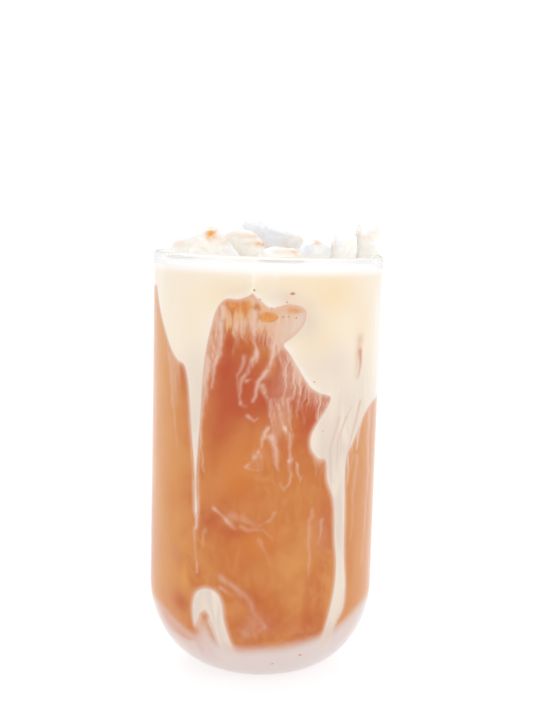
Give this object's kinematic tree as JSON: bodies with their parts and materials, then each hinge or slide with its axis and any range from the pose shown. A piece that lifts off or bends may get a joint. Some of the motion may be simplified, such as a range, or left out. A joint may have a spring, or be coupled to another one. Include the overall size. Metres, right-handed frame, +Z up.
{
  "type": "iced thai tea in a glass",
  "caption": "Tall round-bottomed glass of orange milk tea, with white milk running down the inside of the wall and ice lumps standing above the rim.",
  "frame": {"origin": "centre of the flat foot, on the surface that the glass stands on", "axes": "+Z up along the glass's axis, front of the picture towards -Y, +X to the right seen from the front"},
  "size_m": [0.0778, 0.078, 0.1556],
  "materials": {
    "clear_glass": "clear and polished",
    "milk": "smooth opaque cream-white liquid",
    "milk_tea": "cloudy orange-brown liquid",
    "ice": "wet half-melted ice with a thin film of milk"
  },
  "bodies": {
    "root": {"glass": "clear_glass", "milk": "milk", "tea": "milk_tea", "ice_left": "ice", "ice_middle": "ice", "ice_slab": "ice", "ice_front": "ice", "ice_small": "ice", "ice_hump": "ice", "ice_finger": "ice", "ice_centre": "ice", "ice_back_left": "ice", "ice_back_small": "ice", "ice_back_right": "ice"}
  },
  "joints": []
}
